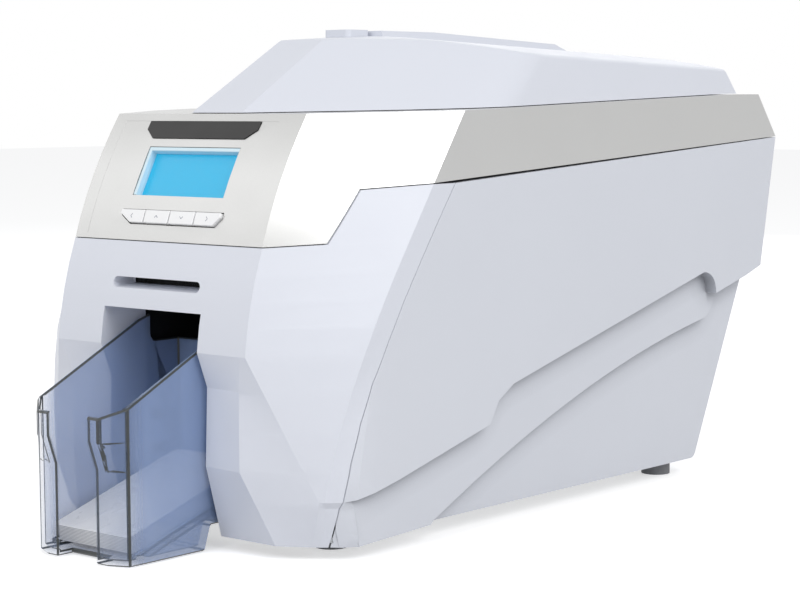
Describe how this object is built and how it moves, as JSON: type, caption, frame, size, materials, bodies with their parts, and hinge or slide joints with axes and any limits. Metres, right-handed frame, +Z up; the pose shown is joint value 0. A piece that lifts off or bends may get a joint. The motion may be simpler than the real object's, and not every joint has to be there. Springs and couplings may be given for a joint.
{
  "type": "id card printer",
  "caption": "Desktop card printer with a rear-hinged lid, sloped display and keys, silver top frame, front card tray with cards, hand-feed slot and an inner gear-driven card path.",
  "frame": {"origin": "on the ground under the middle of the overall box", "axes": "+X to the right as seen from the front, +Y to the back, +Z up"},
  "size_m": [0.22, 0.453, 0.2528],
  "materials": {
    "white_housing": "fine satin texture",
    "white_side": "fine satin texture",
    "white_lid": "fine satin texture",
    "satin_silver": "satin warm grey paint",
    "socket_plate": "satin",
    "base_steel": "zinc plated",
    "foot_rubber": "matt",
    "badge_dark": "smooth and bare",
    "display_bezel": "satin",
    "display_window": "clear",
    "display_screen": "lit cyan blue",
    "circuit_board": "satin solder mask",
    "dark_plastic": "moulded",
    "shaft_steel": "ground",
    "chassis_steel": "plated sheet",
    "bush_plastic": "moulded",
    "roller_rubber": "ground",
    "cleaning_rubber": "tacky",
    "gear_plastic": "moulded",
    "pinion_brass": "machined",
    "motor_metal": "black enamel and bare end caps",
    "ribbon_dark": "glossy film",
    "head_aluminium": "anodised",
    "socket_metal": "nickel plated",
    "rocker_plastic": "moulded",
    "clear_smoke": "clear, smoke blue",
    "card_plastic": "smooth",
    "bay_black": "moulded",
    "key_plastic": "satin"
  },
  "bodies": {
    "housing": {"front_cover": "white_housing", "right_side_cover": "white_side", "left_side_cover": "white_side", "silver_top_frame": "satin_silver", "rear_panel": "white_side", "socket_pocket": "socket_plate", "base_plate": "base_steel", "rubber_feet": "foot_rubber", "badge_plate": "badge_dark", "display_bezel": "display_bezel", "display_window": "display_window", "display_screen": "display_screen", "key_board": "circuit_board", "lid_hinge_pins": "shaft_steel", "lid_hinge_brackets": "chassis_steel", "left_chassis_plate": "chassis_steel", "right_chassis_plate": "chassis_steel", "chassis_brackets": "chassis_steel", "cross_bars": "shaft_steel", "shaft_bushes": "bush_plastic", "gear_studs": "shaft_steel", "card_guide_rails": "dark_plastic", "drive_motor": "motor_metal", "ribbon_film": "ribbon_dark", "main_board": "circuit_board", "network_socket": "socket_metal", "usb_socket": "socket_metal", "power_inlet": "dark_plastic", "power_switch_housing": "dark_plastic", "bay_liner": "bay_black", "case_screws": "shaft_steel"},
    "lid": {"lid_shell": "white_lid", "print_head": "head_aluminium", "head_carrier": "dark_plastic"},
    "button": {"release_button": "white_lid"},
    "latch": {"latch_hook": "dark_plastic"},
    "tray": {"card_tray": "clear_smoke", "card_stack": "card_plastic"},
    "platen": {"platen_shaft": "shaft_steel", "platen_roller": "roller_rubber", "platen_gear": "gear_plastic"},
    "feed": {"feed_roller": "roller_rubber", "feed_gear": "gear_plastic"},
    "rear": {"rear_roller": "roller_rubber", "rear_gear": "gear_plastic"},
    "pick": {"pick_roller": "roller_rubber", "pick_gear": "gear_plastic"},
    "cleaner": {"cleaner_roller": "cleaning_rubber"},
    "front_idler": {"front_idler_gear": "gear_plastic"},
    "rear_idler": {"rear_idler_gear": "gear_plastic"},
    "pinion": {"motor_pinion": "pinion_brass", "motor_shaft": "shaft_steel"},
    "supply": {"supply_spool": "ribbon_dark"},
    "take_up": {"take_up_spool": "ribbon_dark"},
    "rocker": {"power_switch_rocker": "rocker_plastic"},
    "key_1": {"menu_key_1": "key_plastic"},
    "key_2": {"menu_key_2": "key_plastic"},
    "key_3": {"menu_key_3": "key_plastic"},
    "key_4": {"menu_key_4": "key_plastic"}
  },
  "joints": [
    {"name": "lid_hinge", "type": "hinge", "parent": "housing", "child": "lid", "pos_m": [0, 0.201, 0.2115], "axis": [-1, 0, 0], "range_deg": [0, 65]},
    {"name": "release_press", "type": "slide", "parent": "lid", "child": "button", "axis": [0, 0, -1], "range_m": [0, 0.003], "stiffness_N_per_m": 300, "springref_m": -0.002},
    {"name": "latch_slide", "type": "slide", "parent": "lid", "child": "latch", "axis": [0, 1, 0], "range_m": [0, 0.003]},
    {"name": "tray_slide", "type": "slide", "parent": "housing", "child": "tray", "axis": [0, -1, 0], "range_m": [0, 0.105]},
    {"name": "platen_spin", "type": "hinge", "parent": "housing", "child": "platen", "pos_m": [0, 0.0175, 0.117], "axis": [1, 0, 0], "continuous": true},
    {"name": "feed_spin", "type": "hinge", "parent": "housing", "child": "feed", "pos_m": [0, -0.0507, 0.117], "axis": [1, 0, 0], "continuous": true},
    {"name": "rear_spin", "type": "hinge", "parent": "housing", "child": "rear", "pos_m": [0, 0.0857, 0.117], "axis": [1, 0, 0], "continuous": true},
    {"name": "pick_spin", "type": "hinge", "parent": "housing", "child": "pick", "pos_m": [0, -0.07493, 0.09594], "axis": [1, 0, 0], "continuous": true},
    {"name": "cleaner_spin", "type": "hinge", "parent": "housing", "child": "cleaner", "pos_m": [0, -0.0285, 0.117], "axis": [1, 0, 0], "continuous": true},
    {"name": "front_idler_spin", "type": "hinge", "parent": "housing", "child": "front_idler", "pos_m": [0, -0.0166, 0.117], "axis": [1, 0, 0], "continuous": true},
    {"name": "rear_idler_spin", "type": "hinge", "parent": "housing", "child": "rear_idler", "pos_m": [0, 0.0516, 0.117], "axis": [1, 0, 0], "continuous": true},
    {"name": "pinion_spin", "type": "hinge", "parent": "housing", "child": "pinion", "pos_m": [0, 0.0175, 0.0879], "axis": [1, 0, 0], "continuous": true},
    {"name": "supply_spin", "type": "hinge", "parent": "housing", "child": "supply", "pos_m": [0, 0.0775, 0.185], "axis": [1, 0, 0], "continuous": true},
    {"name": "take_up_spin", "type": "hinge", "parent": "housing", "child": "take_up", "pos_m": [0, -0.0625, 0.185], "axis": [1, 0, 0], "continuous": true},
    {"name": "rocker_tilt", "type": "hinge", "parent": "housing", "child": "rocker", "pos_m": [0.034, 0.174, 0.076], "axis": [1, 0, 0], "range_deg": [0, 11]},
    {"name": "key_press_1", "type": "slide", "parent": "housing", "child": "key_1", "axis": [0, 0.9339, -0.3576], "range_m": [0, 0.0008], "stiffness_N_per_m": 400, "springref_m": -0.0005},
    {"name": "key_press_2", "type": "slide", "parent": "housing", "child": "key_2", "axis": [0, 0.9339, -0.3576], "range_m": [0, 0.0008], "stiffness_N_per_m": 400, "springref_m": -0.0005},
    {"name": "key_press_3", "type": "slide", "parent": "housing", "child": "key_3", "axis": [0, 0.9339, -0.3576], "range_m": [0, 0.0008], "stiffness_N_per_m": 400, "springref_m": -0.0005},
    {"name": "key_press_4", "type": "slide", "parent": "housing", "child": "key_4", "axis": [0, 0.9339, -0.3576], "range_m": [0, 0.0008], "stiffness_N_per_m": 400, "springref_m": -0.0005}
  ],
  "couplings": [
    {"joint": "latch_slide", "follows": "release_press", "ratio": 1},
    {"joint": "feed_spin", "follows": "platen_spin", "ratio": 1},
    {"joint": "rear_spin", "follows": "platen_spin", "ratio": 1},
    {"joint": "pick_spin", "follows": "platen_spin", "ratio": -1.6667},
    {"joint": "front_idler_spin", "follows": "platen_spin", "ratio": -1.4286},
    {"joint": "rear_idler_spin", "follows": "platen_spin", "ratio": -1.4286},
    {"joint": "pinion_spin", "follows": "platen_spin", "ratio": -2.2222},
    {"joint": "take_up_spin", "follows": "supply_spin", "ratio": 1.5385}
  ]
}
